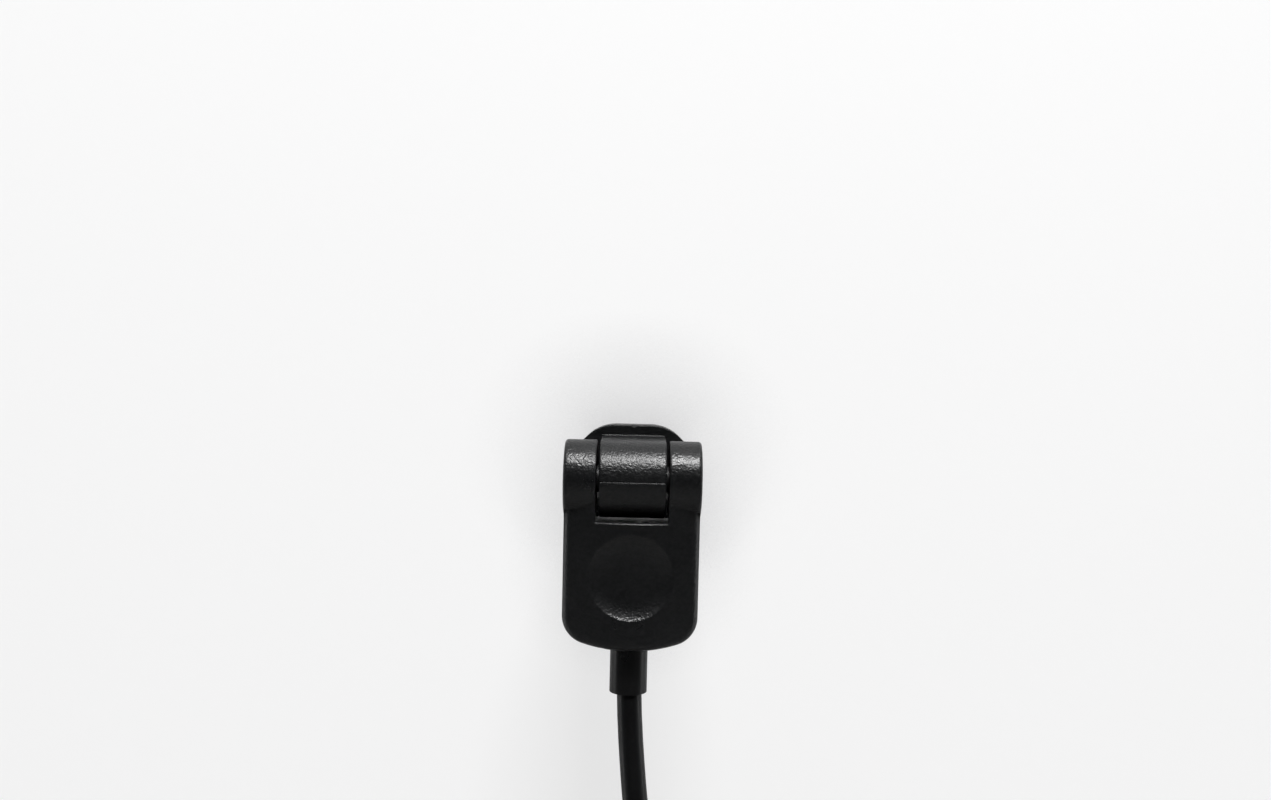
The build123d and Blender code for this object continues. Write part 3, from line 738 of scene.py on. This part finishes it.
sleeve = grained_plastic(
    "pin sleeve", dark=(0.008, 0.008, 0.008), light=(0.01, 0.01, 0.01), roughness=0.25,
    grain=1500, strength=0.1, depth=0.01 * mm,
)
brown = grained_plastic(
    "brown insulation", dark=(0.12, 0.045, 0.02), light=(0.15, 0.06, 0.028), roughness=0.35,
    grain=2500, strength=0.15, depth=0.01 * mm,
)
blue = grained_plastic(
    "blue insulation", dark=(0.02, 0.09, 0.32), light=(0.03, 0.11, 0.36), roughness=0.35,
    grain=2500, strength=0.15, depth=0.01 * mm,
)
print("plastics made")

# %% [markdown]
# ## Metals and the two-coloured core
# The pins are nickel-plated brass: bright, with faint turned rings along their length and slightly duller
# where they have been pushed into sockets. The screws are zinc plated. The earth core is green with yellow
# patches, cut hard out of a slow noise.

# %% Metals


def plated_metal(name, colour, worn_colour, roughness, rings_per_metre, axis):
    """Turned and plated metal, with rings across one axis and patches of wear."""
    material, tree, shader, place = new_material(name, roughness, metallic=1.0)
    parts = tree.nodes.new("ShaderNodeSeparateXYZ")
    tree.links.new(place, parts.inputs["Vector"])
    turned = tree.nodes.new("ShaderNodeCombineXYZ")
    tree.links.new(parts.outputs[axis], turned.inputs["X"])
    rings = noise(tree, turned.outputs["Vector"], rings_per_metre, 3.0, 0.7)
    wear = stretch(tree, noise(tree, place, 350.0, 4.0), 0.45, 0.75)
    tree.links.new(mix_colours(tree, wear, colour, worn_colour), shader.inputs["Base Color"])
    dulled = stretch(tree, rings, 0.3, 0.7, roughness - 0.06, roughness + 0.1)
    tree.links.new(dulled, shader.inputs["Roughness"])
    bump_surface(tree, shader, rings, strength=0.15, depth=0.02 * mm)
    return material


nickel = plated_metal(
    "nickel plate", (0.72, 0.70, 0.66), (0.66, 0.62, 0.54), roughness=0.2, rings_per_metre=6000, axis="Y"
)
brass = plated_metal(
    "contact brass", (0.75, 0.56, 0.26), (0.62, 0.44, 0.2), roughness=0.3, rings_per_metre=4000, axis="Z"
)
zinc = plated_metal(
    "zinc plate", (0.56, 0.57, 0.6), (0.48, 0.48, 0.5), roughness=0.3, rings_per_metre=5000, axis="Y"
)

striped, tree, shader, place = new_material("green and yellow insulation", roughness=0.35)
stripe = stretch(tree, noise(tree, place, 220.0, 0.0), 0.49, 0.51)
tree.links.new(mix_colours(tree, stripe, (0.03, 0.22, 0.03), (0.75, 0.6, 0.02)), shader.inputs["Base Color"])
print("metals made")

# %% [markdown]
# ## Hook-and-loop webbing
# The strap's outside is a mat of fine loops. One noise at the size of single loops and one at the size of
# tufts break up its colour and its surface. Black nylon keeps a little sheen.

# %% Webbing
webbing, tree, shader, place = new_material("strap webbing", roughness=0.75)
loops = math_node(tree, "MULTIPLY", noise(tree, place, 2600.0, 3.0, 0.7), 0.7)
tufts = math_node(tree, "MULTIPLY", noise(tree, place, 700.0, 2.0), 0.3)
fluff = stretch(tree, math_node(tree, "ADD", loops, tufts), 0.35, 0.65)
fluff_colour = mix_colours(tree, fluff, (0.006, 0.006, 0.007), (0.02, 0.02, 0.022))
tree.links.new(fluff_colour, shader.inputs["Base Color"])
shader.inputs["Sheen Weight"].default_value = 0.25
shader.inputs["Sheen Roughness"].default_value = 0.4
bump_surface(tree, shader, fluff, strength=0.8, depth=0.2 * mm)
print("webbing made")

# %% [markdown]
# ## Finishes on the frame's nodes
# Each node keeps its shape and gets the material of its own kind. The record names a material slot for every
# node, so the finish is found by that slot.

# %% Finish every node
finishes = {
    "housing": housing,
    "relief": relief,
    "cord": jacket,
    "carrier": carrier,
    "sleeve": sleeve,
    "pin": nickel,
    "contact": brass,
    "bush": carrier,
    "screw": zinc,
    "core_brown": brown,
    "core_blue": blue,
    "core_green": striped,
    "strap": webbing,
}
for subpart in frame["record"]["subparts"]:
    node = nodes[subpart["node"]]
    node.data.materials.clear()
    node.data.materials.append(finishes[subpart["material_slot"]])
print("finished", len(nodes), "nodes")

# %% [markdown]
# ## Putting the new pieces in place
# The cord stands for the three plain solids of its route, and rides with the grip. The straps, the crowned
# front and the dark sheets that paint the shade in the slot ride with the grip too.

# %% Place the new pieces
cord_data.materials.append(jacket)
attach(cord, "folding_grip")
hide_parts("cord_tube", "cord_coil", "cord_tail")
for piece in straps:
    piece.data.materials.append(webbing)
    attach(piece, "folding_grip")
    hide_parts("coil_straps")
crowned.data.materials.clear()
crowned.data.materials.append(housing)
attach(crowned, "folding_grip")
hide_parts("grip_front_shell")
# The slot's painted shade sheets take the housing's black.
slot_shade_sheets.data.materials.append(housing)
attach(slot_shade_sheets, "folding_grip")

# %% [markdown]
# ## Floor, wall and light
# The object hangs in front of a plain wall, over a plain floor. Both are seen from their front only: a view
# from behind looks through the wall. Three quarters of what the camera sees of them is a glow of their own,
# so they stay bright in a dim room, and a painted contact shadow darkens both close to the plug. That
# painted shadow fades out below the coil, so that none is left in the corner where they meet.

# %% Floor and wall
floor_height = -0.3
wall_place = 0.021
stage_size = 3.0
shadow_reach = 0.04
shadow_fades_from = -0.22
shadow_fades_to = -0.26
shadow_tone = 0.45
shadow_glow = (0.5, 0.5, 0.51)
glow_share = 0.75
stage_tones = {"floor": 0.3, "wall": 0.85}


def backdrop_material(name, tone):
    """Matt white for the camera, chosen grey for light, with a painted contact shadow; front side only."""
    material, tree, shader, place = new_material(name, roughness=0.9, specular=0.1)
    near = tree.nodes.new("ShaderNodeAmbientOcclusion")
    near.inputs["Distance"].default_value = shadow_reach
    near.samples = 4
    geometry = tree.nodes.new("ShaderNodeNewGeometry")
    height = tree.nodes.new("ShaderNodeSeparateXYZ")
    tree.links.new(geometry.outputs["Position"], height.inputs["Vector"])
    away = stretch(tree, height.outputs["Z"], shadow_fades_from, shadow_fades_to)
    # Painted contact shadow: where ambient occlusion finds the plug near, colour and glow darken, but not
    # low by the floor.
    light = math_node(tree, "MAXIMUM", stretch(tree, near.outputs["AO"], 0.5, 0.95), away)
    grey = mix_colours(tree, light, (shadow_tone * tone,) * 3, (tone,) * 3)
    tree.links.new(grey, shader.inputs["Base Color"])
    glow = tree.nodes.new("ShaderNodeEmission")
    tree.links.new(mix_colours(tree, light, shadow_glow, (1, 1, 1)), glow.inputs["Color"])
    ray = tree.nodes.new("ShaderNodeLightPath")
    glowing = math_node(tree, "MULTIPLY", ray.outputs["Is Camera Ray"], glow_share)
    front = mix_shaders(tree, glowing, shader.outputs["BSDF"], glow.outputs["Emission"])
    clear = tree.nodes.new("ShaderNodeBsdfTransparent")
    surface = mix_shaders(tree, geometry.outputs["Backfacing"], front, clear.outputs["BSDF"])
    tree.links.new(surface, tree.nodes["Material Output"].inputs["Surface"])
    return material


deselect_all()
bpy.ops.mesh.primitive_plane_add(
    size=stage_size, location=(0, wall_place - stage_size / 2, floor_height)
)
floor = bpy.context.object
bpy.ops.mesh.primitive_plane_add(
    size=stage_size, location=(0, wall_place, floor_height + stage_size / 2), rotation=(math.pi / 2, 0, 0)
)
wall = bpy.context.object
for surface, (name, tone) in zip((floor, wall), stage_tones.items()):
    surface.name = name
    surface.data.materials.append(backdrop_material(name, tone))
print("floor and wall made")

# %% [markdown]
# ## Lamps and surround
# Most of the light is one soft box high up in front, which gives the barrel its bright band. Two narrow weak
# ones at the sides draw the rounded edges. A black flag behind the camera keeps the fronts dark. The camera
# sees a white surround, and the object is lit by a dim one.

# %% Light


def soft_box(name, place, aim, size, watts):
    """A rectangular area lamp that looks at a point, unseen by the camera."""
    lamp = bpy.data.lights.new(name, "AREA")
    lamp.shape = "RECTANGLE"
    lamp.size, lamp.size_y = size
    lamp.energy = watts
    holder = bpy.data.objects.new(name, lamp)
    holder.location = place
    holder.rotation_euler = (Vector(aim) - Vector(place)).to_track_quat("-Z", "Y").to_euler()
    holder.visible_camera = False
    bpy.context.scene.collection.objects.link(holder)


soft_box("key", place=(0.08, -0.46, 0.88), aim=(0, -0.02, 0), size=(0.34, 0.2), watts=14)
for name, side in (("left strip", -0.5), ("right strip", 0.5)):
    soft_box(name, place=(side, 0, -0.05), aim=(0, -0.02, -0.03), size=(0.04, 0.5), watts=0.35)

deselect_all()
bpy.ops.mesh.primitive_plane_add(size=1, location=(0, -1.0, 0.45), rotation=(math.pi / 2, 0, 0))
flag = bpy.context.object
flag.name = "flag"
flag.scale = (3.0, 1.4, 1)
flag.visible_camera = False
flag_material, tree, shader, place = new_material("flag", roughness=0.9)
shader.inputs["Base Color"].default_value = (0.01, 0.01, 0.01, 1)
flag.data.materials.append(flag_material)

world = bpy.data.worlds.new("surround")
bpy.context.scene.world = world
world.use_nodes = True
tree = world.node_tree
dim = tree.nodes["Background"]
dim.inputs["Color"].default_value = (0.9, 0.95, 1, 1)
dim.inputs["Strength"].default_value = 0.22
seen = tree.nodes.new("ShaderNodeBackground")
seen.inputs["Color"].default_value = (1, 1, 1, 1)
ray = tree.nodes.new("ShaderNodeLightPath")
seen_rays = math_node(tree, "ADD", ray.outputs["Is Camera Ray"], ray.outputs["Is Transmission Ray"])
surround = mix_shaders(tree, seen_rays, dim.outputs["Background"], seen.outputs["Background"])
tree.links.new(surround, tree.nodes["World Output"].inputs["Surface"])
bpy.context.scene.view_settings.view_transform = "Standard"
print("lamps and surround made")
